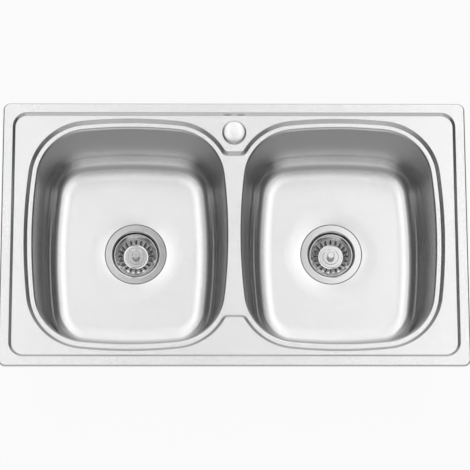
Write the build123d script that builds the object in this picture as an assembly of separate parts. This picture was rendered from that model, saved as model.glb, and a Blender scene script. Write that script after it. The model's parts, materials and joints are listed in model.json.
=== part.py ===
from build123d import *
from math import asin, atan2, cos, degrees, pi, radians, sqrt, tan
import os

# A stainless steel double bowl sink that drops into a worktop cut-out.
# Lengths are in millimetres. The origin is the centre of the cut-out on the worktop's top face,
# X runs along the sink, Y to its rear and Z up.

# Deck: one pressed sheet with a raised border, a panel and a ledge round the bowls
sheet = 0.8
sink_length = 860
sink_depth = 500
outer_corner = 14
rim_height = 6                # border's top face above the worktop
rim_gap = 0.5                 # turned-down edge to worktop
edge_bend = 2
border_width = 18.8
border_corner = 27
border_run = 4.4
border_drop = 5
ledge_width = 10.7
ledge_run = 5.6
ledge_drop = 7.5
crest_radius = 1.8            # outward bends of the steps, on the top face
fold_radius = 1.2             # inward bends of the steps, on the top face
recess_inset = 52.5           # bowl's front or rear to the end of the sunk strip between the bowls
recess_corner = 8

# Bowls: two drawn shells, welded edge to edge to the deck's collars
side_margin = 58.8            # sink's left or right edge to a bowl
end_margin = 46               # sink's front or rear edge to a bowl
bowl_gap = 28.4               # bowl to bowl
bowl_side_arc = 1000
bowl_end_arc = 880
bowl_corner = 94
bowl_fall = 150               # ledge to floor
bowl_draft = 7.5              # degrees from upright
mouth_radius = 5
floor_radius = 28
weld_depth = 9                # ledge to weld

# Floor round each waste
drain_offset = 6.7            # bowl's centre to its waste, towards the sink's middle
dish_inset = 86.5             # bowl's side to the dish, seen from above
dish_fall = 1.5
seat_radius = 59
seat_fall = 1.6
waste_hole_radius = 45

# Tap hole and its cover
tap_inset = 56                # sink's rear edge to the tap hole's centre
tap_hole_radius = 17.5
cap_radius = 22.5
cap_edge = 0.8
cap_crown_radius = 70
cap_crown_reach = 13          # crown's radius seen from above, where the shoulder starts
cap_shoulder_radius = 18
cap_wall = 1.2
cap_boss_radius = 5.5
gasket_height = 0.8
gasket_lap = 2                # past the tap hole's edge, inwards
stud_radius = 3
stud_length = 36
bar_length = 54
bar_width = 14
bar_thickness = 2.5
wing_reach = 15
wing_height = 9
wing_corner = 2.4
wing_thickness = 2.2
wing_hub_radius = 5.5
wing_hub_height = 7

# Waste and strainer: heights go down from the flange's top face
flange_radius = 57.5
flange_gasket = 1.0
cup_radius = 43.5             # inside
cup_depth = 29
cup_roll = 3
throat_radius = 27
throat_depth = 13
web_holes = 6
web_hole_radius = 5.2
web_hole_circle = 17
body_gasket = 2.0
body_flange_radius = 57
body_flange = 3.5
body_wall = 2.5
body_shoulder = 34            # where the body's wall turns in
body_cone = 20                # height of its funnel
outlet_radius = 23.9
outlet_wall = 3.4
outlet_length = 18
collar_radius = 28
collar_height = 6
hub_radius = 8.5
hub_length = 12
hub_top = 46
rib_thickness = 2.2
rib_count = 4
insert_radius = 6
screw_radius = 4
screw_head_radius = 8
screw_head = 3.6

# Strainer basket
basket_sheet = 0.7
basket_lip_radius = 39
basket_lip_drop = 4.2
basket_bead = 0.9
basket_base_radius = 23
basket_base_drop = 22
disc_radius = 21
disc_rise = 1.0
disc_groove_radius = 15
slot_count = 20
slot_width = 2.2
slot_inner = 24.2
slot_outer = 32.5
knob_radius = 7
knob_height = 16
knob_head = 5.4
knob_head_bend = 2
knob_neck_radius = 4
knob_neck_base = 5.4          # foot's taper ends at this height
knob_foot_radius = 7.5
knob_foot = 1
post_radius = 3
pin_radius = 2
pin_length = 10
seal_hub_radius = 9
seal_radius = 33
seal_thickness = 2.6
plug_depth = 3.2
nut_flats = 10
nut_height = 3.6

# Rim seal and sound pads
seal_inset = 3
seal_width = 6
pad_thickness = 2.5
pad_margin = 9                # flat floor left bare round the pad
pad_corner = 55

# Fixing clamps, seen with the screw at the middle and the sink's edge towards +X
clamp_inset = 32
clamp_end = 215               # sink's left or right edge to a front or rear clamp
bracket_sheet = 1.5
bracket_length = 36
bracket_web = 14              # screw axis to the bracket's upright
bracket_drop = 22             # worktop's top face to the bracket's foot
bracket_tail = 8
bracket_collar_radius = 5
bracket_collar = 3.5
clamp_screw_radius = 3
clamp_screw_top = 21
claw_drop = 50
claw_sheet = 2
claw_width = 16
claw_reach = 33
claw_heel = 9
claw_tip = 9.5
washer_radius = 6.5
washer_height = 1
clamp_head_radius = 5.5
clamp_head = 4.5

# Clearances
running = 0.05                # shaft in its own hole, on the radius
loose = 0.3                   # pieces that move past or rest on each other
through = 0.4                 # bolt in a clearance hole, on the radius
weld_gap = 0.5                # bracket to the border's step
past = 1                      # how far a cutter reaches beyond the face it opens

# Sizes, places and heights that follow
bowl_width = (sink_length - bowl_gap) / 2 - side_margin
bowl_depth = sink_depth - 2 * end_margin
bowl_spacing = bowl_width + bowl_gap
recess_depth = bowl_depth - 2 * recess_inset
drain_spacing = bowl_spacing - 2 * drain_offset
dish_radius = bowl_width / 2 - dish_inset
tap_y = sink_depth / 2 - tap_inset
border_top = rim_height
panel_top = border_top - border_drop
ledge_top = panel_top - ledge_drop
floor_top = ledge_top - bowl_fall
weld_height = ledge_top - weld_depth
seat_top = floor_top - dish_fall - seat_fall
flange_top = seat_top + flange_gasket + sheet
cup_outer = cup_radius + sheet
web_drop = cup_depth + throat_depth
border_angle = atan2(border_drop, border_run)
ledge_angle = atan2(ledge_drop, ledge_run)


def shift(angle, moved):
    """How far a bend moves sideways when the sheet's face moves by its thickness."""
    return moved * tan(angle / 2)


def turned(points, centre=(0, 0)):
    """A piece turned about an upright axis from a closed outline of radius and height."""
    outline = make_face(Polyline(*points, close=True))
    return Pos(*centre, 0) * revolve(Plane.XZ * outline, Axis.Z)


def rod(radius, bottom, top):
    """An upright cylinder between two heights."""
    return extrude(Pos(0, 0, bottom) * Circle(radius), top - bottom)


def tube(outer, inner, bottom, top):
    """An upright ring between two heights."""
    return rod(outer, bottom, top) - rod(inner, bottom, top)


def rounded_slab(inset, corner, bottom, top):
    """A slab of the sink's outline, drawn in by inset."""
    outline = RectangleRounded(sink_length - 2 * inset, sink_depth - 2 * inset, corner)
    return extrude(Pos(0, 0, bottom) * outline, top - bottom)


def sunk(outline, top, depth, run):
    """The room under an outline whose sides lean in by run over its depth."""
    lean = degrees(atan2(run, depth))
    return extrude(Pos(0, 0, top) * outline, depth, dir=(0, 0, -1), taper=lean)


def bowl_outline(grow):
    """A bowl's outline moved out by grow: four long arcs and four corner arcs, all tangent."""
    side_centre = Vector(bowl_width / 2 - bowl_side_arc, 0)
    end_centre = Vector(0, bowl_depth / 2 - bowl_end_arc)
    side_reach = bowl_side_arc - bowl_corner
    end_reach = bowl_end_arc - bowl_corner
    link = end_centre - side_centre
    along = (side_reach**2 - end_reach**2 + link.length**2) / (2 * link.length)
    across = sqrt(side_reach**2 - along**2)
    unit = link.normalized()
    corner = side_centre + unit * along + Vector(-unit.Y, unit.X) * across
    start = side_centre + (corner - side_centre).normalized() * (bowl_side_arc + grow)
    stop = end_centre + (corner - end_centre).normalized() * (bowl_end_arc + grow)
    bisector = ((start - corner).normalized() + (stop - corner).normalized()).normalized()
    middle = corner + bisector * (bowl_corner + grow)

    def mirrored(point, x, y):
        return (point.X * x, point.Y * y)

    arcs = []
    for x, y in ((1, 1), (-1, 1), (-1, -1), (1, -1)):
        arcs.append(ThreePointArc(*(mirrored(p, x, y) for p in (start, middle, stop))))
    for end in (1, -1):
        side_middle = (end * (bowl_width / 2 + grow), 0)
        arcs.append(ThreePointArc(mirrored(start, end, -1), side_middle, mirrored(start, end, 1)))
        end_middle = (0, end * (bowl_depth / 2 + grow))
        arcs.append(ThreePointArc(mirrored(stop, -1, end), end_middle, mirrored(stop, 1, end)))
    return Face(Wire(arcs))


def bowl_room(side, moved):
    """The room in a bowl from the ledge down, its walls and floor moved out by moved."""
    lean = radians(bowl_draft)
    depth = bowl_fall + moved
    outline = Pos(side * bowl_spacing / 2, 0) * bowl_outline(moved / cos(lean))
    room = sunk(outline, ledge_top, depth, depth * tan(lean))
    return fillet(room.faces().sort_by(Axis.Z)[0].edges(), floor_radius + moved)


def drain_room(side, moved):
    """The dished floor and the flange's seat round a waste hole, moved down by moved."""
    top = floor_top - moved
    seat = seat_radius + moved
    outline = [(0, top + past), (dish_radius, top + past), (dish_radius, top),
               (seat + seat_fall, top - dish_fall), (seat, seat_top - moved), (0, seat_top - moved)]
    return turned(outline, (side * drain_spacing / 2, 0))


def flat_at(piece, height):
    """A piece's largest flat face at one height."""
    flats = [face for face in piece.faces() if face.geom_type == GeomType.PLANE]
    flats = [face for face in flats if abs(face.normal_at().Z) > 0.999]
    return max((f for f in flats if abs(f.center().Z - height) < 0.001), key=lambda f: f.area)


def round_bends(room, height, outer, inner):
    """Round the bends at one level of a room: outer at the level's rim, inner at its openings."""
    if outer:
        room = fillet(flat_at(room, height).outer_wire().edges(), outer)
    openings = [edge for wire in flat_at(room, height).inner_wires() for edge in wire.edges()]
    return fillet(openings, inner)


def deck_room(moved):
    """The space over the deck's sheet, its lower side moved by moved into or through the sheet."""
    border = border_top - moved
    panel = panel_top - moved
    ledge = ledge_top - moved
    out = shift(border_angle, moved)
    inset = border_width - out
    pan = RectangleRounded(sink_length - 2 * inset, sink_depth - 2 * inset, border_corner + out)
    room = sunk(pan, border, border_drop, border_run)

    grow = ledge_width + ledge_run + shift(ledge_angle, moved)
    recess = recess_depth / 2 + ledge_run + shift(ledge_angle, moved)
    left, right = (Pos(side * bowl_spacing / 2, 0) * bowl_outline(grow) for side in (-1, 1))
    outline = left + right + Rectangle(bowl_spacing, 2 * recess)
    tips = [v for v in outline.vertices() if abs(abs(v.Y) - recess) < 0.01]
    outline = fillet(tips, recess_corner)
    room += sunk(outline, panel, ledge_drop, ledge_run)
    for side in (-1, 1):
        room += bowl_room(side, moved)
    room += rounded_slab(-border_width, outer_corner, border, border + rim_height)

    room = round_bends(room, ledge, fold_radius + moved, mouth_radius - moved)
    room = round_bends(room, panel, fold_radius + moved, crest_radius - moved)
    return round_bends(room, border, None, crest_radius - moved)


def make_deck():
    """The pressed deck: stepped sheet, turned-down edge, bowl collars and tap hole."""
    deck = rounded_slab(0, outer_corner, weld_height, border_top) & deck_room(sheet)
    deck += rounded_slab(0, outer_corner, rim_gap, border_top)
    deck -= rounded_slab(sheet, outer_corner - sheet, rim_gap, border_top - sheet) - deck_room(sheet)
    deck -= deck_room(0)
    deck = fillet(flat_at(deck, border_top).outer_wire().edges(), edge_bend)
    return deck - Pos(0, tap_y) * rod(tap_hole_radius, ledge_top, border_top)


def make_bowl(side):
    """A drawn bowl below its weld, with a dished floor, the waste's seat and the waste hole."""
    shell = bowl_room(side, sheet) + drain_room(side, sheet)
    shell -= bowl_room(side, 0)
    shell -= drain_room(side, 0)
    shell -= rounded_slab(0, outer_corner, weld_height, border_top)
    hole = rod(waste_hole_radius, seat_top - bowl_fall, floor_top)
    return shell - Pos(side * drain_spacing / 2, 0) * hole


def make_bowl_pad(side):
    """The sound pad on a bowl's floor, with a hole for the waste and the dished floor."""
    lean = radians(bowl_draft)
    bend = floor_radius * tan((pi / 2 - lean) / 2)
    margin = bowl_fall * tan(lean) + bend + pad_margin
    outline = RectangleRounded(bowl_width - 2 * margin, bowl_depth - 2 * margin, pad_corner)
    top = floor_top - sheet
    pad = extrude(Pos(side * bowl_spacing / 2, 0, top) * outline, -pad_thickness)
    hole = rod(dish_radius + 2 * sheet, top - pad_thickness, top)
    return pad - Pos(side * drain_spacing / 2, 0) * hole


def make_rim_seal():
    """The foam strip under the border, which lies on the worktop."""
    top = border_top - sheet
    outer = rounded_slab(seal_inset, outer_corner - seal_inset, 0, top)
    inset = seal_inset + seal_width
    return outer - rounded_slab(inset, outer_corner - inset, 0, top)


def cap_face(moved):
    """A half outline of the cap's domed top, moved in by moved, with its foot at the panel."""
    foot = panel_top + gasket_height
    crown_angle = degrees(asin(cap_crown_reach / cap_crown_radius))
    reach = (cap_radius - cap_crown_reach) / cap_shoulder_radius
    edge_angle = degrees(asin(reach + cap_crown_reach / cap_crown_radius))
    crown_sag = cap_crown_radius * (1 - cos(radians(crown_angle)))
    shoulder = cos(radians(crown_angle)) - cos(radians(edge_angle))
    top = foot + cap_edge + crown_sag + cap_shoulder_radius * shoulder
    crown = JernArc((0, top - moved), (1, 0), cap_crown_radius - moved, -crown_angle)
    side = JernArc(crown @ 1, crown % 1, cap_shoulder_radius - moved, crown_angle - edge_angle)
    rim = side @ 1
    rest = Polyline(rim, (rim.X, foot), (0, foot), (0, top - moved))
    return make_face([crown, side, *rest.edges()]), top


def make_cover():
    """The tap hole's cover: domed cap, gasket, stud, clamping bar and wing nut."""
    outside, top = cap_face(0)
    inside, _ = cap_face(cap_wall)
    foot = panel_top + gasket_height
    cap = revolve(Plane.XZ * outside, Axis.Z) - revolve(Plane.XZ * inside, Axis.Z)
    cap += rod(cap_boss_radius, foot, top - cap_wall)
    stud_top = top - 2 * cap_wall
    cap -= rod(stud_radius, foot, stud_top)
    gasket = tube(cap_radius - loose, tap_hole_radius - gasket_lap, panel_top, foot)
    stud = rod(stud_radius, stud_top - stud_length, stud_top)

    bar_top = panel_top - sheet - loose
    bar = SlotOverall(bar_length, bar_width) - Circle(stud_radius + through)
    bar = extrude(Pos(0, 0, bar_top) * bar, -bar_thickness)

    nut_top = bar_top - bar_thickness - loose
    nut = rod(wing_hub_radius, nut_top - wing_hub_height, nut_top)
    wing = RectangleRounded(2 * wing_reach, wing_height, wing_corner)
    wings = extrude(Plane.XZ * wing, wing_thickness / 2, both=True)
    wing_centre = nut_top - wing_hub_height
    nut += Pos(0, 0, wing_centre) * wings
    nut -= rod(stud_radius + running, wing_centre - wing_height, nut_top)
    pieces = {"cap": cap, "gasket": gasket, "stud": stud, "bar": bar, "wing_nut": nut}
    return {f"cover_{name}": Pos(0, tap_y) * piece for name, piece in pieces.items()}


def make_strainer_cup():
    """The pressed cup: flange, rolled mouth, stepped seat and a holed web with the screw hole."""
    web = -web_drop
    outline = [(flange_radius, 0), (cup_radius, 0), (cup_radius, -cup_depth),
               (throat_radius, -cup_depth), (throat_radius, web),
               (screw_radius + loose, web), (screw_radius + loose, web - sheet),
               (throat_radius + sheet, web - sheet), (throat_radius + sheet, -cup_depth - sheet),
               (cup_outer, -cup_depth - sheet), (cup_outer, -sheet), (flange_radius, -sheet)]
    cup = turned(outline)

    def ring(radius, height):
        edges = cup.edges().filter_by(GeomType.CIRCLE)
        edges = edges.filter_by_position(Axis.Z, height - 0.01, height + 0.01)
        return [edge for edge in edges if abs(edge.radius - radius) < 0.01]

    cup = fillet(ring(cup_radius, 0), cup_roll)
    cup = fillet(ring(cup_outer, -sheet), cup_roll - sheet)
    cup = fillet(ring(cup_radius, -cup_depth), cup_roll - sheet)
    cup = fillet(ring(cup_outer, -cup_depth - sheet), cup_roll)
    cup = fillet(ring(flange_radius, 0), sheet / 2)
    hole = rod(web_hole_radius, web - sheet, web)
    for place in PolarLocations(web_hole_circle, web_holes):
        cup -= place * hole
    return cup


def make_waste_body():
    """The moulded body under the bowl: flange, funnel, threaded outlet and a ribbed screw hub."""
    top = -(sheet + flange_gasket + sheet + body_gasket)
    inner = cup_outer + 2 * through
    outer = inner + body_wall
    outlet_inner = outlet_radius - outlet_wall
    shoulder = -body_shoulder
    cone_end = shoulder - body_cone
    collar = cone_end - collar_height
    outlet_end = collar - outlet_length
    outline = [(inner, top), (body_flange_radius, top),
               (body_flange_radius, top - body_flange), (outer, top - body_flange),
               (outer, shoulder), (collar_radius, cone_end), (collar_radius, collar),
               (outlet_radius, collar),
               (outlet_radius, outlet_end), (outlet_inner, outlet_end),
               (outlet_inner, cone_end), (inner, shoulder)]
    body = turned(outline)
    funnel = turned([(0, shoulder), (inner, shoulder), (outlet_inner, cone_end),
                     (outlet_inner, outlet_end), (0, outlet_end)])
    rib = Pos(inner / 2, 0, -hub_top - hub_length / 2) * Box(inner, rib_thickness, hub_length)
    spider = rod(hub_radius, -hub_top - hub_length, -hub_top)
    for place in PolarLocations(0, rib_count):
        spider += place * rib
    body += spider & funnel
    return body - rod(insert_radius, -hub_top - hub_length, -hub_top)


def make_basket():
    """The strainer basket: beaded lip, slotted cone, raised disc with a groove and a post hole."""
    slope = atan2(basket_base_drop - basket_lip_drop, basket_lip_radius - basket_base_radius)
    down = basket_sheet / cos(slope)
    lip = -basket_lip_drop
    base = -basket_base_drop
    disc = base + disc_rise
    outline = [(basket_lip_radius, lip), (basket_base_radius, base), (disc_radius, base),
               (disc_radius, disc), (disc_groove_radius, disc),
               (disc_groove_radius - disc_rise / 2, disc - disc_rise / 2),
               (disc_groove_radius - disc_rise, disc), (post_radius, disc),
               (post_radius, base - basket_sheet), (basket_base_radius, base - basket_sheet),
               (basket_lip_radius, lip - down)]
    basket = turned(outline)
    bead = Pos(basket_lip_radius, 0, lip - down / 2) * (Plane.XZ * Circle(basket_bead))
    basket += revolve(bead, Axis.Z)
    slot = SlotOverall(slot_outer - slot_inner, slot_width)
    slot = Pos((slot_outer + slot_inner) / 2, 0, base) * slot
    cutter = extrude(slot, basket_base_drop)
    for place in PolarLocations(0, slot_count):
        basket -= place * cutter
    return basket


def make_knob():
    """The basket's knob and post: foot, waisted neck, domed head above and the locating pin below."""
    foot = disc_rise - basket_base_drop
    top = foot + knob_height
    under_head = top - knob_head
    post_end = seal_bottom() - nut_height - running
    grip = turned([(0, foot), (knob_foot_radius, foot), (knob_foot_radius, foot + knob_foot),
                   (knob_neck_radius, foot + knob_neck_base), (knob_neck_radius, under_head),
                   (knob_radius, under_head), (knob_radius, top), (0, top)])
    rims = [edge for edge in grip.edges().filter_by(GeomType.CIRCLE)
            if abs(edge.radius - knob_radius) < 0.01]
    grip = fillet(rims, knob_head_bend)
    return grip + rod(post_radius, post_end, foot) + rod(pin_radius, post_end - pin_length, post_end)


def seal_bottom():
    """The height of the rubber plug's lower face."""
    return -cup_depth + loose - plug_depth


def make_basket_seal():
    """The rubber plug under the basket: hub, sealing disc and a plug that enters the throat."""
    seat = -cup_depth + loose
    top = -basket_base_drop - basket_sheet
    return turned([(post_radius + running, top), (seal_hub_radius, top),
                   (seal_hub_radius, seat + seal_thickness), (seal_radius, seat + seal_thickness),
                   (seal_radius, seat), (throat_radius - loose, seat),
                   (throat_radius - 2 * loose, seal_bottom()), (post_radius + running, seal_bottom())])


def make_waste(side):
    """The pieces of one waste with its basket, named for the bowl that they hang in."""
    name = "left" if side < 0 else "right"
    under_flange = -sheet
    under_seat = under_flange - flange_gasket - sheet
    nut_top = seal_bottom()
    screw_top = screw_head - web_drop
    screw = rod(screw_head_radius, -web_drop, screw_top)
    screw += rod(screw_radius, -hub_top - hub_length, -web_drop)
    screw -= rod(pin_radius + loose, nut_top - nut_height - pin_length - loose, screw_top)
    nut = extrude(RegularPolygon(nut_flats / 2, 6, major_radius=False), nut_height)
    nut = Pos(0, 0, nut_top - nut_height) * nut - rod(post_radius + running, nut_top - nut_height, nut_top)
    pieces = {
        "strainer_cup": make_strainer_cup(),
        "flange_gasket": tube(flange_radius - sheet, cup_outer + cup_roll,
                              under_flange - flange_gasket, under_flange),
        "body_gasket": tube(body_flange_radius - sheet, cup_outer + cup_roll,
                            under_seat - body_gasket, under_seat),
        "waste_body": make_waste_body(),
        "centre_screw": screw,
        "screw_insert": tube(insert_radius - running, screw_radius + running,
                             -hub_top - hub_length, -hub_top),
        "basket": make_basket(),
        "basket_knob": make_knob(),
        "basket_seal": make_basket_seal(),
        "basket_nut": nut,
    }
    place = Pos(side * drain_spacing / 2, 0, flange_top)
    return {f"{name}_{piece}": place * shape for piece, shape in pieces.items()}


def clamp_places():
    """Each clamp's name and its place: the screw's axis, with +X turned to the sink's edge."""
    front = sink_depth / 2 - clamp_inset
    side = sink_length / 2 - clamp_inset
    half = sink_length / 2 - clamp_end
    return {
        "left": Pos(-side, 0) * Rot(0, 0, 180),
        "right": Pos(side, 0),
        "front_left": Pos(-half, -front) * Rot(0, 0, -90),
        "front_right": Pos(half, -front) * Rot(0, 0, -90),
        "rear_left": Pos(-half, front) * Rot(0, 0, 90),
        "rear_right": Pos(half, front) * Rot(0, 0, 90),
    }


def make_bracket():
    """The welded bracket: a flange under the border, an upright and a foot with a tapped collar."""
    top = border_top - sheet
    foot = -bracket_drop
    inner = bracket_web
    outer = clamp_inset - seal_inset - seal_width - 2 * weld_gap
    profile = Polyline((inner, top), (outer, top), (outer, top - bracket_sheet),
                       (inner + bracket_sheet, top - bracket_sheet),
                       (inner + bracket_sheet, foot - bracket_sheet),
                       (-bracket_tail, foot - bracket_sheet), (-bracket_tail, foot),
                       (inner, foot), close=True)
    bracket = extrude(Plane.XZ * make_face(profile), bracket_length / 2, both=True)
    bracket += rod(bracket_collar_radius, foot - bracket_sheet - bracket_collar, foot - bracket_sheet)
    return bracket - rod(clamp_screw_radius + running, -claw_drop, foot)


def make_claw():
    """The claw: a plate round the screw, with a toothed tip that rises to the worktop."""
    bottom = -claw_drop
    top = bottom + claw_sheet
    profile = Polyline((-claw_heel, bottom), (claw_reach, bottom), (claw_reach, top + claw_tip),
                       (claw_reach - claw_sheet, top + claw_tip), (claw_reach - claw_sheet, top),
                       (claw_sheet - claw_heel, top), (claw_sheet - claw_heel, top + claw_sheet),
                       (-claw_heel, top + claw_sheet), close=True)
    claw = extrude(Plane.XZ * make_face(profile), claw_width / 2, both=True)
    notch = Pos(claw_reach, 0, top + claw_tip) * Rot(0, 45, 0)
    for y in (-claw_width / 4, claw_width / 4):
        claw -= Pos(0, y, 0) * notch * Box(4 * claw_sheet, claw_sheet, claw_sheet)
    claw -= rod(clamp_screw_radius + through, bottom, top)
    return Rot(0, 0, -90) * claw


def make_clamps():
    """Six clamps: all brackets in one node, and a claw, washer and screw node for each."""
    washer_top = -claw_drop - loose
    head_top = washer_top - washer_height - loose
    washer = tube(washer_radius, clamp_screw_radius + loose, washer_top - washer_height, washer_top)
    screw = rod(clamp_screw_radius, head_top, -clamp_screw_top)
    head = RegularPolygon(clamp_head_radius, 6, major_radius=False)
    screw += extrude(Pos(0, 0, head_top) * head, -clamp_head)
    claw = make_claw()
    bracket = make_bracket()
    pieces = {"clamp_brackets": Compound([place * bracket for place in clamp_places().values()])}
    for name, place in clamp_places().items():
        pieces[f"{name}_claw"] = place * claw
        pieces[f"{name}_clamp_washer"] = place * washer
        pieces[f"{name}_clamp_screw"] = place * screw
    return pieces


def make_sink():
    """Every piece of the sink by the name of its node."""
    pieces = {"sink_deck": make_deck(), "rim_seal": make_rim_seal()}
    for side, name in ((-1, "left"), (1, "right")):
        pieces[f"{name}_bowl"] = make_bowl(side)
        pieces[f"{name}_bowl_pad"] = make_bowl_pad(side)
        pieces.update(make_waste(side))
    pieces.update(make_cover())
    pieces.update(make_clamps())
    return pieces


os.makedirs("parts", exist_ok=True)
for node, piece in make_sink().items():
    export_step(piece, f"parts/{node}.step")
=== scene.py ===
import bpy
import json
import math
import numpy as np
from mathutils import Matrix, Vector


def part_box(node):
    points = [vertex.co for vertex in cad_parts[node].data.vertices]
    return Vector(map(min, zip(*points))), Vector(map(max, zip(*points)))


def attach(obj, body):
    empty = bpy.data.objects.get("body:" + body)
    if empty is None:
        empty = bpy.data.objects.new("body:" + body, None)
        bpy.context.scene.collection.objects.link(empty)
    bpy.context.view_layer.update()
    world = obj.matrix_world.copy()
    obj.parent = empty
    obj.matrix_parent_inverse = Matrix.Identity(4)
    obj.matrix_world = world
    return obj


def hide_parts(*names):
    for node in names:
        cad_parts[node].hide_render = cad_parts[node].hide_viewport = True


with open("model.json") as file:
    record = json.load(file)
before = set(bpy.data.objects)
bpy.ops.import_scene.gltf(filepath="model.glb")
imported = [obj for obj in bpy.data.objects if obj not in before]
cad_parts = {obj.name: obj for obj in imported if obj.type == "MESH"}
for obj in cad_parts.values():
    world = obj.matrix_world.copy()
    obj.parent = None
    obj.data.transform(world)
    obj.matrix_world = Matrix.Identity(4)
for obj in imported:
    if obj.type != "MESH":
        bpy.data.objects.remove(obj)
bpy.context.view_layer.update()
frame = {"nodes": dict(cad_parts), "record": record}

# ---------------------------------------------------------------- sizes in millimetres, angles in radians
SHEET, BASKET_SHEET = 0.8, 0.7
BORDER, PANEL, LEDGE, WELD, FLOOR, SEAT = 6.0, 1.0, -6.5, -15.5, -156.5, -159.6     # heights of top faces
HALF_LENGTH, HALF_DEPTH, OUTER_CORNER, FOOT = 430.0, 250.0, 14.0, 0.5
BORDER_WIDTH, BORDER_CORNER = 18.8, 27.0
RIM_ROLL, BORDER_FALL, LEDGE_FALL, FALL_BENDS, MOUTH_BEND = 3.5, 4.4, 5.6, [1.8, 1.2], 5.0
BOWL_X, BOWL_HALF_X, BOWL_HALF_Y = 192.7, 178.5, 204.0
SIDE_ARC, END_ARC, BOWL_CORNER = 1000.0, 880.0, 94.0
LEAN, FLOOR_BEND = math.tan(math.radians(7.5)), 28.0
WELD_IN = (LEDGE - WELD) * LEAN                      # how far the wall has come in at the weld
FLOOR_FOOT, FLOOR_SLOPE, FLOOR_EASE = 49.8, math.radians(11.8), 92.0     # where and how a floor starts to rise
LEDGE_GROW, RECESS, RECESS_CORNER = 16.3, 157.1, 8.0
DRAIN_X, DISH, DISH_FALL, WASTE_HOLE = 186.0, 92.0, 1.5, 45.0
SEAT_RADIUS, SEAT_STEP, SEAT_BENDS = 57.8, 0.9, [0.5, 0.4]
TAP, TAP_RADIUS = np.array([0.0, 194.0]), 17.5
FAN, FAN_SIDE = math.radians(7.6), 14                # half the fan round the tap hole, the points on its sides
FLANGE_TOP = -157.8
CAP_FOOT, CAP_TOP, CAP_CROWN = 1.8, 8.85, 110.0
SLOTS, SLOT_HALF, SLOT_INNER, SLOT_OUTER, ARCH = 20, 1.1, 24.2, 32.8, 0.8
SEAM, OPENED, SLOT_END = 0.03, 0.04, -22.3           # half gaps: no slot, least slot; no slot lies below the end
THREAD, PITCH, THREAD_DEPTH = 3.0, 1.0, 0.55         # the screws' and the stud's thread; its radius comes first
SCREW_FLATS, SCREW_HEAD, CHAMFER = 11.0, 4.5, 0.6
SHARP = math.radians(38)                             # turned pieces keep an edge that is sharper than this
AXIS = 0.3                                           # how near its axis a turned outline ends, closed by a flat
LEAD = 30.0                                          # the straight before or after a section's bends


# ---------------------------------------------------------------- surfaces
def mesh_of(name, points, faces, finish):
    """A mesh that is shaded smooth, from points in millimetres."""
    data = bpy.data.meshes.new(name)
    data.from_pydata((points / 1000).tolist(), [], faces)
    data.polygons.foreach_set("use_smooth", np.ones(len(data.polygons), bool))
    data.materials.append(finish.data)
    return data


def shown(name, data):
    """The object of a mesh or a camera, in the scene at the origin."""
    obj = bpy.data.objects.new(name, data)
    bpy.context.scene.collection.objects.link(obj)
    return obj


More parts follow.
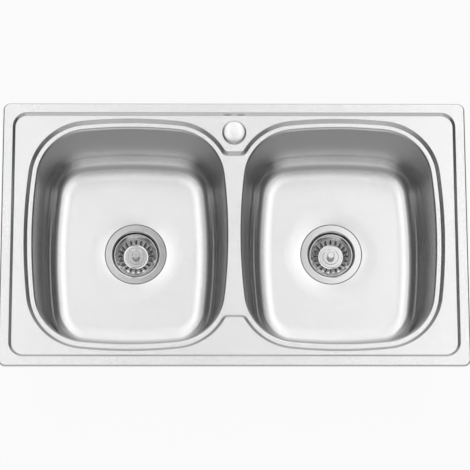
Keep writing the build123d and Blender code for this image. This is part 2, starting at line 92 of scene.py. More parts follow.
class Surface:
    """One skin of a sheet or a turned piece: vertices with their exact normals, and the quads between rows."""

    def __init__(self):
        self.co, self.no, self.laid, self.faces, self.count = [], [], [], [], 0

    def add(self, co, no, laid=None):
        """Adds vertices and returns their numbers, which stand for a row. Each one may carry its place on the
        flat sheet before it was drawn, which the grain follows."""
        self.co.append(np.asarray(co, float))
        self.no.append(np.asarray(no, float))
        self.laid.append(self.co[-1][:, :2] if laid is None else laid)
        self.count += len(co)
        return np.arange(self.count - len(co), self.count)

    def flat(self, xy, height):
        """A row at one height that faces straight up."""
        return self.add(np.column_stack([xy, np.full(len(xy), height)]), np.tile((0.0, 0.0, 1.0), (len(xy), 1)))

    def xy(self, row):
        """Where a row's vertices stand, seen from above."""
        return np.concatenate(self.co)[row][:, :2]

    def strip(self, outer, inner, skip=None):
        """Quads between two closed rows that run anticlockwise: vertex k of each with vertex k + 1 of each."""
        quads = np.stack([outer, np.roll(outer, -1), np.roll(inner, -1), inner], 1)
        self.faces += (quads if skip is None else quads[~skip]).tolist()

    def strips(self, made):
        """Quads between each row and the next one inwards."""
        for outer, inner in zip(made, made[1:]):
            self.strip(outer, inner)

    def rows(self, path, outline, ground=None):
        """A section carried along a closed path. A row's point is the path's point less the section's distance
        times the path's outward normal, at the section's height; its normal is made of the same two. Over a
        ground height the sheet is laid flat outwards: the point moved along the path's normal by its height."""
        points, normals = path
        made = []
        for distance, height, out, up in outline:
            xy = points - distance * normals
            laid = xy if ground is None else xy + (height - ground) * normals
            co = np.column_stack([xy, np.full(len(points), height)])
            made.append(self.add(co, np.column_stack([-out * normals, np.full(len(points), up)]), laid))
        return made

    def turn_normals(self):
        """Takes each vertex's normal from the faces round it, each face's being the product of its diagonals."""
        co, faces = np.concatenate(self.co), np.array(self.faces)
        face = np.cross(co[faces[:, 2]] - co[faces[:, 0]], co[faces[:, 3]] - co[faces[:, 1]])
        total = np.zeros_like(co)
        for corner in range(4):
            np.add.at(total, faces[:, corner], face)
        self.no = [total]

    def sheet(self, name, finish, thickness):
        """The Blender object of a sheet. A second skin has each vertex moved back along its normal, and quads
        join the two along every edge that only one face of the first skin has. Each corner of a face keeps its
        own normal: its vertex's, turned round on the second skin, and straight out on the joining quads."""
        co, no = np.concatenate(self.co), np.concatenate(self.no)
        no /= np.linalg.norm(no, axis=1)[:, None]
        n = len(co)
        pairs = np.array([pair for f in self.faces for pair in zip(f, f[1:] + f[:1])])
        a, b = pairs[~np.isin(pairs @ (n, 1), pairs @ (1, n))].T
        side = np.cross(co[b] - co[a], no[a])
        side /= np.linalg.norm(side, axis=1)[:, None]
        back = [[k + n for k in reversed(f)] for f in self.faces]
        faces = self.faces + back + np.stack([b, a, a + n, b + n], 1).tolist()
        data = mesh_of(name, np.concatenate([co, co - thickness * no]), faces, finish)
        data.normals_split_custom_set(np.concatenate([
            no[np.concatenate(self.faces)], -no[np.concatenate(back) - n], np.repeat(side, 4, 0)]).tolist())
        laid = np.zeros((2 * n, 3))
        laid[:, :2] = np.tile(np.concatenate(self.laid), (2, 1)) / 1000
        data.attributes.new("laid_flat", "FLOAT_VECTOR", "POINT").data.foreach_set("vector", laid.ravel())
        return shown(name, data)

    def turned(self, name, finish):
        """The Blender object of closed surfaces turned about an axis."""
        data = mesh_of(name, np.concatenate(self.co), self.faces, finish)
        data.set_sharp_from_angle(angle=SHARP)
        return shown(name, data)


def section(points, radii, steps):
    """A bent section through corner points of inward distance and height. Each corner is an arc of its radius:
    the direction turns evenly from one straight to the next, and the arc starts the radius times the tangent of
    half the turn before the corner. Directions run from -180 to 180 degrees, so a corner that passes 180 turns
    the long way round, in a loop. Rows of distance, height and the upward normal's two parts."""
    pts = np.array(points, float)
    made = []
    for k, (radius, n) in enumerate(zip(radii, steps), 1):
        arrive, leave = pts[k] - pts[k - 1], pts[k + 1] - pts[k]
        a, b = math.atan2(*arrive[::-1]), math.atan2(*leave[::-1])
        start = pts[k] - arrive / np.hypot(*arrive) * radius * abs(math.tan((b - a) / 2))
        heading = a + (b - a) * np.arange(n + 1) / n
        bend = math.copysign(radius, b - a)
        made.append(np.stack([start[0] + bend * (np.sin(heading) - math.sin(a)),
                              start[1] + bend * (math.cos(a) - np.cos(heading)),
                              -np.sin(heading), np.cos(heading)], 1))
    return np.concatenate(made)


def arc(centre, radius, start, stop, step=0.4, hollow=False):
    """Points every step along an arc between two angles, with normals away from its centre, or to it."""
    a = np.linspace(start, stop, max(2, int(abs(stop - start) * radius / step)))
    ray = np.column_stack([np.cos(a), np.sin(a)])
    return np.array(centre) + radius * ray, -ray if hollow else ray


def line(a, b, normal, step=0.6):
    """Points every step along a straight line, with one normal."""
    s = np.linspace(0, 1, max(2, int(math.dist(a, b) / step)))[:, None]
    return np.array(a) * (1 - s) + np.array(b) * s, np.tile(normal, (len(s), 1))


def join(parts):
    """One path from several that follow each other."""
    return np.concatenate([p for p, _ in parts]), np.concatenate([n for _, n in parts])


def all_round(quarter):
    """A closed path from its quarter between the +X and the +Y axis, by mirroring."""
    p, n = quarter
    flip, turn = np.array([-1, 1]), np.array([1, -1])
    return join([(p, n), ((p * flip)[::-1], (n * flip)[::-1]), (-p, -n), ((p * turn)[::-1], (n * turn)[::-1])])


def towards(path, angles):
    """A path's points and normals in the directions of some angles seen from the origin."""
    p, n = path
    a = np.arctan2(p[:, 1], p[:, 0])
    order = np.argsort(a)
    x, y, nx, ny = (np.interp(angles, a[order], c[order], period=2 * math.pi) for c in (*p.T, *n.T))
    length = np.hypot(nx, ny)
    return np.column_stack([x, y]), np.column_stack([nx / length, ny / length])


def rectangle(half_x, half_y, corner):
    """A rectangle with round corners: a quarter is half of each side and the arc between, whose centre lies its
    radius in from both sides."""
    c = (half_x - corner, half_y - corner)
    return all_round(join([line((half_x, 0), (half_x, c[1]), (1.0, 0.0)),
                           arc(c, corner, 0, math.pi / 2, 0.1),
                           line((c[0], half_y), (0, half_y), (0.0, 1.0))]))


# ---------------------------------------------------------------- outlines
def bowl_corner():
    """The centre of a bowl's corner arc and the angles where it meets the long arcs. It lies the side arc's
    radius less the corner's from the side arc's centre, and the same way from the end arc's."""
    side, end = BOWL_HALF_X - SIDE_ARC, BOWL_HALF_Y - END_ARC
    gap = math.hypot(side, end)
    along = ((SIDE_ARC - BOWL_CORNER) ** 2 - (END_ARC - BOWL_CORNER) ** 2 + gap ** 2) / (2 * gap)
    across = math.sqrt((SIDE_ARC - BOWL_CORNER) ** 2 - along ** 2)
    unit = np.array([-side, end]) / gap
    centre = np.array([side, 0]) + unit * along + np.array([-unit[1], unit[0]]) * across
    return centre, math.atan2(centre[1], centre[0] - side), math.atan2(centre[1] - end, centre[0])


CORNER, SIDE_END, END_START = bowl_corner()
bowl_path = all_round(join([arc((BOWL_HALF_X - SIDE_ARC, 0), SIDE_ARC, 0, SIDE_END),
                            arc(CORNER, BOWL_CORNER, SIDE_END, END_START),
                            arc((0, BOWL_HALF_Y - END_ARC), END_ARC, END_START, math.pi / 2)]))


def ledge_outline():
    """The outline where the panel steps down: two grown bowls and the strip between them, whose four inward
    tips are arcs. A tip's centre lies its own radius beyond the strip's edge and beyond the bowl's corner arc."""
    near = np.array([BOWL_X - CORNER[0], CORNER[1]])
    reach = BOWL_CORNER + LEDGE_GROW
    rise = RECESS + RECESS_CORNER - near[1]
    tip = near + (-math.sqrt((reach + RECESS_CORNER) ** 2 - rise ** 2), rise)
    meet = math.atan2(*(tip - near)[::-1])
    quarter = join([
        arc((BOWL_X + BOWL_HALF_X - SIDE_ARC, 0), SIDE_ARC + LEDGE_GROW, 0, SIDE_END),
        arc((BOWL_X + CORNER[0], CORNER[1]), reach, SIDE_END, END_START),
        arc((BOWL_X, BOWL_HALF_Y - END_ARC), END_ARC + LEDGE_GROW, END_START, math.pi - END_START),
        arc(near, reach, math.pi - END_START, meet),
        arc(tip, RECESS_CORNER, meet - math.pi, -math.pi / 2, 0.08, hollow=True),
        line((tip[0], RECESS), (0, RECESS), (0.0, 1.0))])
    start = near + reach * np.array([math.cos(meet), math.sin(meet)])
    return all_round(quarter), math.atan2(start[1], start[0]), math.atan2(RECESS, tip[0])


ledge_path, tip_start, tip_end = ledge_outline()
edge_path = rectangle(HALF_LENGTH, HALF_DEPTH, OUTER_CORNER)
border_path = rectangle(HALF_LENGTH - BORDER_WIDTH, HALF_DEPTH - BORDER_WIDTH, BORDER_CORNER)

# directions from the sink's middle, in one quarter: closer together at the outer corners and at the strip's tips
quarter = np.unique(np.concatenate([np.arange(0, 90, 0.5), np.arange(26.3, 31.5, 0.1),
                                    np.linspace(math.degrees(tip_start) - 0.4, math.degrees(tip_end) + 0.4, 26)]))
quarter = quarter[np.r_[True, np.diff(quarter) > 0.03]]
RAYS = np.radians(np.concatenate([quarter, [90], 180 - quarter[:0:-1],
                                  180 + quarter, [270], 360 - quarter[:0:-1]]))
REAR, FRONT = len(quarter), 3 * len(quarter)         # the places of the directions straight back and forwards


# ---------------------------------------------------------------- pressed deck
def lay_between(skin, a, b, count):
    """Vertices that divide the straight line between two vertices evenly, without its ends."""
    s = np.linspace(0, 1, count + 2)[1:-1, None]
    (pa, pb), height = skin.xy([a, b]), np.concatenate(skin.co)[a][2]
    return skin.flat(pa * (1 - s) + pb * s, height)


def panel(skin, outside, inside):
    """The flat panel between two rows. Round the tap hole it is a fan: each vertex of the ring that stands round
    the hole is joined with the hole's point in the same direction from the hole's centre."""
    near = np.flatnonzero(np.abs(RAYS - math.pi / 2) < FAN)
    first, last = near[[0, -1]]
    skip = np.zeros(len(RAYS), bool)
    skip[first - 1:last + 1] = True
    skin.strip(outside, inside, skip)
    right = lay_between(skin, inside[first], outside[first], FAN_SIDE)
    left = lay_between(skin, outside[last], inside[last], FAN_SIDE)
    ring = np.concatenate([outside[first:last + 1], left, inside[first:last + 1][::-1], right])
    ray = skin.xy(ring) - TAP
    hole = skin.flat(TAP + TAP_RADIUS * ray / np.linalg.norm(ray, axis=1)[:, None], PANEL)
    skin.strip(ring, hole)
    skin.faces.append([outside[first - 1], outside[first], *right[::-1], inside[first], inside[first - 1]])
    skin.faces.append([outside[last], outside[last + 1], inside[last + 1], inside[last], *left[::-1]])


def make_deck():
    """The deck's top skin, and round each bowl the path that its collar follows. Rows run along the rim, the
    border, the panel's edge and the ledge's; the ledge is parted down the middle, and each half is joined to its
    bowl's mouth, which bends down the wall to the weld."""
    skin = Surface()
    rolled = section([(0, FOOT), (0, BORDER), (LEAD, BORDER)], [RIM_ROLL], [7])
    step = section([(-LEAD, BORDER), (0, BORDER), (BORDER_FALL, PANEL), (LEAD, PANEL)], FALL_BENDS, [5, 4])
    drop = section([(-LEAD, PANEL), (0, PANEL), (LEDGE_FALL, LEDGE), (LEAD, LEDGE)], FALL_BENDS, [7, 6])
    bend = section([(-LEAD, LEDGE), (0, LEDGE), (WELD_IN, WELD)], [MOUTH_BEND], [9])
    collar = [*bend, [WELD_IN, WELD, *bend[-1][2:]]]
    border = skin.rows(towards(edge_path, RAYS), [[0, FOOT, -1, 0], *rolled])
    border += skin.rows(towards(border_path, RAYS), step)
    fall = skin.rows(towards(ledge_path, RAYS), drop)
    skin.strips(border)
    panel(skin, border[-1], fall[0])
    skin.strips(fall)
    middle = lay_between(skin, fall[-1][FRONT], fall[-1][REAR], 58)
    loops = {-1: np.concatenate([fall[-1][REAR:FRONT + 1], middle]),
             1: np.concatenate([fall[-1][FRONT:], fall[-1][:REAR + 1], middle[::-1]])}
    paths = {}
    for side, loop in loops.items():
        centre = np.array([side * BOWL_X, 0])
        rel = skin.xy(loop) - centre
        points, normals = towards(bowl_path, np.arctan2(rel[:, 1], rel[:, 0]))
        paths[side] = (points + centre, normals)
        skin.strips([loop] + skin.rows(paths[side], collar))
    return skin, paths


def make_bowl(side, path):
    """A bowl below its weld: wall, floor bend and flat floor carried along the mouth's path, then the dish. The
    floor rises at a small slope before the bend; the slope meets the wall where the two straight lines cross.
    The dish falls with the square of the way from its edge to the waste's seat, one small step lower."""
    skin = Surface()
    rise = (FLOOR_FOOT - (LEDGE - FLOOR) * LEAN) / (1 / math.tan(FLOOR_SLOPE) - LEAN)
    foot = ((LEDGE - FLOOR - rise) * LEAN, FLOOR + rise)
    wall = section([(WELD_IN, WELD), foot, (FLOOR_FOOT, FLOOR), (FLOOR_FOOT + LEAD, FLOOR)],
                   [FLOOR_BEND, FLOOR_EASE], [24, 12])
    made = skin.rows(path, [[WELD_IN, WELD, *wall[0][2:]], *wall], FLOOR)
    centre = np.array([side * DRAIN_X, 0])
    ray = skin.xy(made[-1]) - centre
    ray /= np.linalg.norm(ray, axis=1)[:, None]
    width, edge = DISH - SEAT_RADIUS - SEAT_STEP, FLOOR - DISH_FALL
    steepest = 2 * DISH_FALL / width
    way = np.linspace(0, 1, 14)
    dish = np.stack([width * way, FLOOR - DISH_FALL * way ** 2, steepest * way, np.ones(len(way))], 1)
    seat = section([(width - LEAD, edge + LEAD * steepest), (width, edge), (width + SEAT_STEP, SEAT),
                    (width + LEAD, SEAT)], SEAT_BENDS, [4, 4])
    inwards = [*dish[:-1], *seat, [DISH - WASTE_HOLE, SEAT, 0, 1]]
    skin.strips(made + skin.rows((centre + DISH * ray, ray), inwards))
    return skin


# ---------------------------------------------------------------- turned, pressed and threaded pieces
def rounded(points, radii, steps=4, ring=False):
    """An outline of radius and height with each corner rounded, and its ends kept, or joined in a ring."""
    pts = [points[-1], *points, points[0]] if ring else points
    bent = section(pts, radii, [steps] * len(radii))[:, :2]
    return bent if ring else np.vstack([points[0], bent, points[-1]])


def filled(outline, step):
    """The outline with points added evenly where two lie further apart than a step."""
    made = []
    for a, b in zip(outline, outline[1:]):
        count = max(1, math.ceil(math.dist(a, b) / step))
        made.append(a + (b - a) * np.arange(count)[:, None] / count)
    return np.vstack([*made, outline[-1:]])


def sweep_round(skin, outline, columns, shape=None, ring=False, place=(0, 0, 0)):
    """An outline of radius and height turned about an upright axis: the point at a radius, a height and an angle
    stands at the radius times the angle's cosine and sine. A shape may change the radii first. The two ends are
    closed by flat faces, or joined to each other where the outline is a ring."""
    angle = 2 * math.pi * np.arange(columns) / columns
    radius, height, turn = np.broadcast_arrays(outline[:, :1], outline[:, 1:2], angle)
    if shape:
        radius = shape(radius, height, turn)
    grid = np.stack([radius * np.cos(turn), radius * np.sin(turn), height], 2) + place
    number = skin.add(grid.reshape(-1, 3), np.ones((grid.size // 3, 3))).reshape(-1, columns)
    upper = number if ring else number[:-1]
    lower = np.roll(number, -1, 0) if ring else number[1:]
    quads = np.stack([upper, lower, np.roll(lower, -1, 1), np.roll(upper, -1, 1)], 2)
    skin.faces += quads.reshape(-1, 4).tolist()
    if not ring:
        skin.faces += [number[0].tolist(), number[-1][::-1].tolist()]


def thread(major, low, high, pitch, depth):
    """Cuts a thread into an outside of the major radius between two heights. The radius loses the depth times
    the distance from the ridge, which climbs one pitch a turn, and the cut fades out over a pitch at each end."""
    def cut(radius, height, turn):
        wave = np.abs(2 * np.mod(height / pitch - turn / (2 * math.pi), 1) - 1)
        fade = np.clip((height - low) / pitch, 0, 1) * np.clip((high - height) / pitch, 0, 1)
        return radius - depth * wave * fade * (radius > major - 0.05) * (radius < major + 0.05)
    return cut


def hexagon(flats, low, high, start):
    """Cuts the part between two heights to a hexagon: its radius is at most half the flats over the cosine of
    the angle from the nearest flat's middle."""
    def cut(radius, height, turn):
        off = np.mod(turn - start + math.pi / 6, math.pi / 3) - math.pi / 6
        inside = (height >= low) & (height <= high)
        return np.where(inside, np.minimum(radius, flats / 2 / np.cos(off)), radius)
    return cut


def make_cap():
    """The tap hole's cover: a crown whose height falls with the square of the radius, a rounded shoulder, the
    hollow underside and the boss that holds the stud."""
    skin = Surface()
    reach = np.linspace(AXIS, 17, 12)
    crown = np.column_stack([reach, CAP_TOP - reach ** 2 / (2 * CAP_CROWN)])
    side = rounded([crown[-1], (21.4, 6.7), (22.5, 3.4), (22.5, CAP_FOOT)], [4, 3], 7)
    inside = rounded([(21.5, CAP_FOOT), (21.3, 3.2), (19.6, 5.8), (5.5, 7.3), (5.5, CAP_FOOT), (AXIS, CAP_FOOT)],
                     [2, 3, 0.8, 0.4], 5)
    sweep_round(skin, np.vstack([crown, side[1:], inside]), 96, place=(*TAP, 0))
    return skin


def make_stud(low, high):
    """The cover's stud: a rod with both ends chamfered, and a thread from its foot nearly to the top."""
    skin = Surface()
    tip = THREAD - CHAMFER
    outline = rounded([(AXIS, high), (tip, high), (THREAD, high - CHAMFER), (THREAD, low + CHAMFER), (tip, low),
                       (AXIS, low)], [0.1] * 4, 2)
    ridge = thread(THREAD, low + 0.4, high - 3, PITCH, THREAD_DEPTH)
    sweep_round(skin, filled(outline, 0.25), 48, ridge, place=(*TAP, 0))
    return skin


def make_screw(low, high, start, place):
    """A screw that points up: its hexagon head at the bottom, chamfered above and below, then the threaded shank
    with a chamfered end. The hexagon's first flat looks to the start angle."""
    skin = Surface()
    flat, neck = SCREW_FLATS / 2, low + SCREW_HEAD
    corner = flat / math.cos(math.pi / 6)
    outline = rounded([(AXIS, high), (2.3, high), (THREAD, high - 0.8), (THREAD, neck), (flat, neck),
                       (corner, neck - 0.5), (corner, low + 0.5), (flat - 0.2, low), (AXIS, low)],
                      [0.1, 0.1, 0.15, 0.1, 0.1, 0.1, 0.1], 2)
    ridge = thread(THREAD, neck + 1, high - CHAMFER, PITCH, THREAD_DEPTH)
    head = hexagon(SCREW_FLATS, low + 0.01, neck - 0.01, start)
    sweep_round(skin, filled(outline, 0.25), 48, lambda r, h, a: head(ridge(r, h, a), h, a), place=place)
    return skin


def make_waste_body(centre):
    """The moulded body under a waste: flange, turned-in shoulder, funnel, collar and threaded outlet, with four
    ribs in it that hold the hub. The ribs are bars between two corners."""
    skin = Surface()
    ring = [(45.1, -4.6), (57, -4.6), (57, -8.1), (47.6, -8.1), (47.6, -34), (28, -54), (28, -60), (23.9, -60),
            (23.9, -78), (20.5, -78), (20.5, -54), (45.1, -34)]
    outline = filled(rounded(ring, [0.4, 1.2, 1, 2, 3, 1.5, 1, 0.5, 0.8, 0.5, 2, 3], 4, True), 0.5)
    sweep_round(skin, outline, 120, thread(23.9, -77.4, -60.8, 2.309, 1.1), True, centre)
    hub = rounded([(6, -46), (8.5, -46), (8.5, -58), (6, -58)], [0.3, 0.8, 0.8, 0.3], 3, True)
    sweep_round(skin, hub, 48, None, True, centre)
    for turn in range(4):
        along = np.array([math.cos(turn * math.pi / 2), math.sin(turn * math.pi / 2), 0])
        across = np.array([-along[1], along[0], 0])
        bar = np.array([reach * along + side * across + (0, 0, height) for height in (-58, -46)
                        for reach, side in ((8, -1.1), (21.5, -1.1), (21.5, 1.1), (8, 1.1))]) + centre
        n = skin.add(bar, np.ones((8, 3)))
        skin.faces += n[[[0, 3, 2, 1], [4, 5, 6, 7], [0, 1, 5, 4], [1, 2, 6, 5], [2, 3, 7, 6],
                         [3, 0, 4, 7]]].tolist()
    return skin


def make_basket(centre):
    """A pressed strainer basket: a rolled lip, a steep wall, a ring of slots and a grooved disc. Each row is a
    circle whose columns crowd to the slots: a slot's side lies its half width off the slot's middle line, and
    the half width follows a half circle at the slot's ends. The bars between slots are arched: they stand up by
    the arch times one less the square of the way from their middle."""
    skin = Surface()
    profile = filled(rounded([(39.9, -5.6), (39.9, -3.8), (34.6, -16.2), (23, -22), (21, -22), (21, -21),
                              (15, -21), (14.5, -21.5), (14, -21), (3.1, -21)],
                             [0.9, 2.2, 1.2, 0.4, 0.4, 0.3, 0.25, 0.3]), 0.45)
    radius, height = profile[:, :1], profile[:, 1:]
    middle, reach = (SLOT_OUTER + SLOT_INNER) / 2, (SLOT_OUTER - SLOT_INNER) / 2
    past = np.clip(np.abs(radius - middle) - (reach - SLOT_HALF), 0, SLOT_HALF)
    half = np.maximum(np.sqrt(SLOT_HALF ** 2 - past ** 2) * (height > SLOT_END), SEAM)
    pitch = 2 * math.pi / SLOTS
    across = np.linspace(-1, 1, 11)
    angle = [k * pitch + pitch / 2 + across * (pitch / 2 - np.arcsin(half / radius)) for k in range(SLOTS)]
    angle = np.concatenate(angle, 1)
    swell = np.clip(1 - ((radius - middle) / (reach + 1)) ** 2, 0, 1)
    up = ARCH * swell * (1 - np.tile(across, SLOTS) ** 2)
    grid = np.stack([radius * np.cos(angle), radius * np.sin(angle), height + up], 2) + centre
    number = skin.add(grid.reshape(-1, 3), np.zeros((grid.size // 3, 3))).reshape(len(profile), -1)
    beside = np.roll(number, -1, 1)
    quads = np.stack([number[:-1], number[1:], beside[1:], beside[:-1]], 2)
    is_open = (half[:-1] > OPENED) | (half[1:] > OPENED)
    slot = np.arange(number.shape[1]) % len(across) == len(across) - 1
    skin.faces = quads[~(is_open & slot)].tolist()
    skin.turn_normals()
    return skin


# ---------------------------------------------------------------- materials
class Sock:
    """A shader socket that takes part in Python arithmetic: each operator adds its Math node."""

    def __init__(self, mat, out):
        self.mat, self.out = mat, out

    def math(self, op, other):
        return self.mat.node("ShaderNodeMath", {"operation": op}, {0: self, 1: other})

    def __add__(self, other):
        return self.math("ADD", other)

    def __mul__(self, other):
        return self.math("MULTIPLY", other)

    __radd__, __rmul__ = __add__, __mul__


class Nodes:
    """A node tree, of a material or of the world."""

    def __init__(self, data):
        self.data = data
        data.use_nodes = True
        self.tree = data.node_tree

    def node(self, kind, settings, sockets, out=0):
        """Any node: its settings first, then values or links for its sockets by name or place."""
        made = self.tree.nodes.new(kind)
        for key, value in settings.items():
            setattr(made, key, value)
        for key, value in sockets.items():
            self.feed(made, key, value)
        return Sock(self, made.outputs[out])

    def feed(self, node, socket, value):
        """Gives a node's socket a value, or links it to another socket."""
        if isinstance(value, Sock):
            self.tree.links.new(value.out, node.inputs[socket])
        else:
            node.inputs[socket].default_value = value


def rgba(shade):
    """A grey or a colour as a colour socket takes it."""
    return (*shade, 1) if isinstance(shade, tuple) else (shade, shade, shade, 1)


def spread(value, low, high):
    """A value from 0 to 1 moved to run from low to high."""
    return value * (high - low) + low


class Finish(Nodes):
    """A finish: a Principled shader with its colour and roughness, even or varied over the surface."""

    def __init__(self, name, metallic, shade, roughness):
        super().__init__(bpy.data.materials.new(name))
        self.shader = self.tree.nodes["Principled BSDF"]
        self.place = self.node("ShaderNodeTexCoord", {}, {}, "Object")
        self.feed(self.shader, "Metallic", metallic)
        self.feed(self.shader, "Base Color", rgba(shade))
        self.rough(roughness)

    def rough(self, value):
        """Sets the roughness."""
        self.feed(self.shader, "Roughness", value)

    def tint(self, factor, dark, light):
        """Sets the colour between two by a factor."""
        mixed = self.node("ShaderNodeMix", {"data_type": "RGBA"}, {0: factor, 6: rgba(dark), 7: rgba(light)}, 2)
        self.feed(self.shader, "Base Color", mixed)

    def bumped(self, height, strength, distance, width=0.1):
        """Tilts the surface by the slope of a height, and gives the finish back."""
        self.feed(self.shader, "Normal", self.node("ShaderNodeBump", {}, {
            "Strength": strength, "Distance": distance, "Filter Width": width, "Height": height}))
        return self

    def noise(self, scale, detail=2.0, stretch=(1, 1, 1), rough=0.5, place=None):
        """Noise from 0 to 1 in the object's own metres, drawn out along an axis by a small stretch."""
        vector = self.node("ShaderNodeMapping", {}, {"Vector": place or self.place, "Scale": stretch})
        return self.node("ShaderNodeTexNoise", {}, {"Vector": vector, "Scale": scale, "Detail": detail,
                                                    "Roughness": rough}, "Fac")

    def cells(self, scale, feature="F1"):
        """The distance to the nearest of scattered points."""
        return self.node("ShaderNodeTexVoronoi", {"feature": feature}, {"Vector": self.place, "Scale": scale},
                         "Distance")


def satin_steel():
    """Brushed sheet. The grain is noise on the flat sheet, thirty times longer along the sink than across it, so
    its bump spreads reflections across the grain and hardly along it; wide clouds from polishing lie over it."""
    steel = Finish("satin_sheet_steel", 1.0, 0.79, 0.2)
    sheet = steel.node("ShaderNodeAttribute", {"attribute_name": "laid_flat"}, {}, "Vector")
    grain = steel.noise(900, 3, (0.03, 1, 1), place=sheet)
    fine = steel.noise(8000, 1, (0.03, 1, 1), place=sheet)
    cloud = steel.noise(9, 2, place=sheet)
    steel.rough(spread(grain, -0.03, 0.03) + spread(cloud, 0.12, 0.17))
    steel.tint(cloud * 0.7 + grain * 0.3, 0.76, 0.83)
    return steel.bumped(fine, 1.0, 0.000028, 0.02)


def bright_steel():
    """Pressed and polished steel of the wastes, with faint water marks."""
    steel = Finish("bright_pressed_steel", 1.0, 0.82, 0.14)
    marks = steel.noise(60, 4)
    steel.rough(spread(marks, 0.05, 0.13))
    steel.tint(marks, 0.78, 0.85)
    return steel


def chrome():
    """Chrome of the knobs, with the faintest clouding."""
    plate = Finish("polished_chrome", 1.0, 0.84, 0.08)
    plate.rough(spread(plate.noise(120, 2), 0.03, 0.08))
    return plate


def cap_chrome():
    """Satin chrome of the tap hole's cover, softly clouded."""
    plate = Finish("satin_chrome", 1.0, 0.92, 0.3)
    cloud = plate.noise(90, 3)
    plate.rough(spread(cloud, 0.27, 0.33))
    plate.tint(cloud, 0.9, 0.94)
    return plate


def zinc():
    """Bright zinc plate: mottled blue grey with small spangles and duller patches."""
    plate = Finish("bright_zinc_plate", 1.0, 0.6, 0.35)
    patch = plate.noise(160, 4, rough=0.65)
    plate.rough(spread(patch, 0.24, 0.5))
    plate.tint(patch, (0.5, 0.52, 0.55), (0.72, 0.73, 0.74))
    return plate.bumped(plate.noise(1400, 2), 0.06, 0.0002)


def rubber():
    """Moulded black rubber with a dull bloom."""
    skin = Finish("black_moulded_rubber", 0.0, 0.022, 0.55)
    bloom = skin.noise(90, 3)
    skin.rough(spread(bloom, 0.45, 0.7))
    skin.tint(bloom, 0.018, 0.035)
    return skin.bumped(skin.noise(2500, 2), 0.1, 0.0001)


def foam():
    """Closed-cell foam: small round cells that show as pits, each with painted shade that darkens it towards its
    middle.
    """
    strip = Finish("grey_cell_foam", 0.0, 0.09, 0.9)
    cells = strip.cells(1100.0)
    # painted shade: the colour darkens towards each cell's middle, where the bump below sinks its pit
    strip.tint(cells, 0.05, 0.13)
    return strip.bumped(cells, 0.5, 0.0004)


def pad():
    """Matt bitumen sheet with a pebbled skin."""
    sheet = Finish("bitumen_pad", 0.0, 0.05, 0.75)
    pebble = sheet.cells(420.0, "SMOOTH_F1")
    sheet.tint(sheet.noise(30, 4), 0.035, 0.07)
    sheet.rough(spread(pebble, 0.6, 0.85))
    return sheet.bumped(pebble, 0.45, 0.0006)


def plastic():
    """Moulded polypropylene: off-white, with a fine spark-eroded skin and slight flow clouds."""
    moulded = Finish("white_moulded_plastic", 0.0, 0.8, 0.42)
    flow = moulded.noise(25, 2)
    moulded.tint(flow, (0.76, 0.76, 0.73), (0.83, 0.83, 0.81))
    moulded.rough(spread(flow, 0.36, 0.48))
    return moulded.bumped(moulded.noise(1800, 2), 0.08, 0.0001)


def brass():
    """Turned brass with fine rings of tool marks."""
    turned = Finish("turned_brass", 1.0, (0.72, 0.55, 0.27), 0.28)
    marks = turned.noise(700, 2, (0.2, 0.2, 3))
    turned.rough(spread(marks, 0.2, 0.36))
    return turned.bumped(marks, 0.08, 0.0001)


finishes = {"satin_steel": satin_steel(), "bright_steel": bright_steel(), "chrome": chrome(),
            "zinc_steel": zinc(), "black_rubber": rubber(), "foam": foam(), "sound_pad": pad(),
            "white_plastic": plastic(), "brass": brass()}


# ---------------------------------------------------------------- looks of the solids, and the modelled pieces
slots = {row["node"]: row["material_slot"] for row in frame["record"]["subparts"]}
for name, obj in frame["nodes"].items():
    obj.data.materials.clear()
    obj.data.materials.append(finishes[slots[name]].data)


def stand_in(obj, node, body):
    """A modelled piece that is shown in a node's place and moves with a body."""
    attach(obj, body)
    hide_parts(node)


def corners_of(node):
    """A node's lowest and highest corners, in millimetres."""
    return [np.array(corner) * 1000 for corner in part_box(node)]


deck, collars = make_deck()
stand_in(deck.sheet("deck_sheet", finishes["satin_steel"], SHEET), "sink_deck", "sink")
for side, word in ((-1, "left"), (1, "right")):
    bowl = make_bowl(side, collars[side]).sheet(f"{word}_bowl_sheet", finishes["satin_steel"], SHEET)
    stand_in(bowl, f"{word}_bowl", "sink")
    waste = (side * DRAIN_X, 0, FLANGE_TOP)
    basket = make_basket(waste).sheet(f"{word}_pressed_basket", finishes["bright_steel"], BASKET_SHEET)
    stand_in(basket, f"{word}_basket", f"{word}_strainer")
    body = make_waste_body(waste).turned(f"{word}_moulded_body", finishes["white_plastic"])
    stand_in(body, f"{word}_waste_body", "sink")

stand_in(make_cap().turned("cap_dome", cap_chrome()), "cover_cap", "sink")
low, high = corners_of("cover_stud")
stud = make_stud(low[2], high[2]).turned("threaded_stud", finishes["zinc_steel"])
stand_in(stud, "cover_stud", "sink")
for clamp in ("left", "right", "front_left", "front_right", "rear_left", "rear_right"):
    low, high = corners_of(f"{clamp}_clamp_screw")
    size, middle = high - low, (low + high) / 2
    start = math.pi / 6 if size[0] > size[1] else 0          # a hexagon is wider across its corners
    screw = make_screw(low[2], high[2], start, (middle[0], middle[1], 0))
    stand_in(screw.turned(f"{clamp}_threaded_screw", finishes["zinc_steel"]), f"{clamp}_clamp_screw",
             f"{clamp}_spindle")


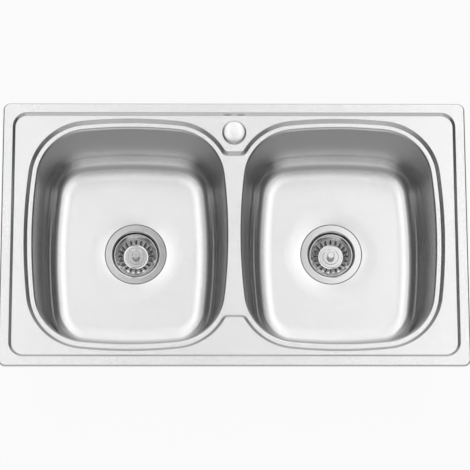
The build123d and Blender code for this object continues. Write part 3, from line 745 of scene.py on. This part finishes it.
# ---------------------------------------------------------------- studio
class Studio(Nodes):
    """The studio's light, by direction: a dim room with soft-edged panels in it. A direction's two leans are how
    far it is from overhead to the right and to the rear; its turn is how far it is from straight ahead or
    straight back to either side."""

    TURN_SOFT = 16

    def __init__(self, room):
        super().__init__(bpy.data.worlds.new("studio"))
        bpy.context.scene.world = self.data
        place = self.node("ShaderNodeTexCoord", {}, {}, "Generated")
        x, y, z = (self.node("ShaderNodeSeparateXYZ", {}, {0: place}, axis) for axis in "XYZ")
        ahead = self.node("ShaderNodeMath", {"operation": "ABSOLUTE"}, {0: y})
        self.angles = [self.node("ShaderNodeMath", {"operation": "ARCTAN2"}, {0: part, 1: base})
                       for part, base in ((x, z), (y, z), (x, ahead))]
        self.light = room

    def edge(self, angle, start, stop):
        """Rises smoothly from 0 to 1 as the angle goes from start to stop, in degrees."""
        return self.node("ShaderNodeMapRange", {"interpolation_type": "SMOOTHSTEP"},
                         {"Value": angle, "From Min": math.radians(start), "From Max": math.radians(stop)})

    def panel(self, sides, depth, strength, soft, turn=120):
        """Adds a panel between two leans to the side and two to the rear, and up to a turn: the strength times
        the slope of each of its edges, which are as wide as the soft angles say."""
        inside = strength
        spans = sides, depth, (-turn, turn)
        for angle, (low, high), wide in zip(self.angles, spans, (*soft, self.TURN_SOFT)):
            inside = self.edge(angle, low - wide / 2, low + wide / 2) * inside
            inside = self.edge(angle, high + wide / 2, high - wide / 2) * inside
        self.light = inside + self.light

    def switch_on(self):
        """Gives the sum of the room and its panels to the background as a grey."""
        grey = self.node("ShaderNodeCombineColor", {}, {0: self.light, 1: self.light, 2: self.light})
        self.feed(self.tree.nodes["Background"], "Color", grey)


ALL_ROUND = (-95, 95)                                # from level on one side to level on the other
studio = Studio(0.09)
studio.panel((-20, -2.8), (-1, 48), 1.06, (5, 12))
studio.panel((3, 21), (-1, 48), 1.08, (5, 12))
studio.panel((-38, 38), ALL_ROUND, 0.26, (22, 6))
studio.panel(ALL_ROUND, (50, 95), 0.36, (2, 18), 56)
studio.panel(ALL_ROUND, (-95, -54), 0.34, (2, 16), 56)
studio.switch_on()

REACH, GROUND, WHITE_SHARE = 30.0, -0.2385, 0.94


def white_floor():
    """A pale floor. The camera, and rays off metal or through anything clear, see nearly plain white there, with
    a share of the lit floor that keeps the shadow."""
    pale = Finish("pale_floor", 0.0, 0.8, 0.9)
    camera, glossy, through = (pale.node("ShaderNodeLightPath", {}, {}, f"Is {ray} Ray")
                               for ray in ("Camera", "Glossy", "Transmission"))
    white = pale.node("ShaderNodeEmission", {}, {"Color": rgba(1), "Strength": 1.0})
    mixed = pale.node("ShaderNodeMixShader", {}, {0: (camera + glossy + through) * WHITE_SHARE,
                                                  1: Sock(pale, pale.shader.outputs[0]), 2: white})
    pale.feed(pale.tree.nodes["Material Output"], "Surface", mixed)
    return pale


floor = bpy.data.meshes.new("floor")
floor.from_pydata([(-REACH, -REACH, GROUND), (REACH, -REACH, GROUND), (REACH, REACH, GROUND),
                   (-REACH, REACH, GROUND)], [], [(0, 1, 2, 3)])
floor.materials.append(white_floor().data)
shown("floor", floor)

# camera: tilt from upright, turn about the upright, roll, distance in metres, pixels to a millimetre, frame
TILT, TURN, ROLL = math.radians(14.40), math.radians(-2.82), math.radians(-0.13)
DISTANCE, SCALE, FRAME = 4.5, 0.5440, 470
TARGET = Vector((0.0009, -0.0039, 0.006))
camera = bpy.data.cameras.new("camera")
camera.sensor_width = 36
camera.lens = SCALE * DISTANCE * 1000 / FRAME * camera.sensor_width
camera.clip_end = 100
camera_obj = shown("camera", camera)
away = Vector((math.sin(TILT) * math.sin(TURN), -math.sin(TILT) * math.cos(TURN), math.cos(TILT)))
level = Vector((0, 1, 0)).cross(away).normalized()
across = math.cos(ROLL) * level + math.sin(ROLL) * away.cross(level)
camera_obj.location = TARGET + away * DISTANCE
camera_obj.rotation_mode = "QUATERNION"
camera_obj.rotation_quaternion = Matrix((across, away.cross(across), away)).transposed().to_quaternion()
bpy.context.scene.camera = camera_obj
bpy.context.scene.view_settings.view_transform = "Standard"
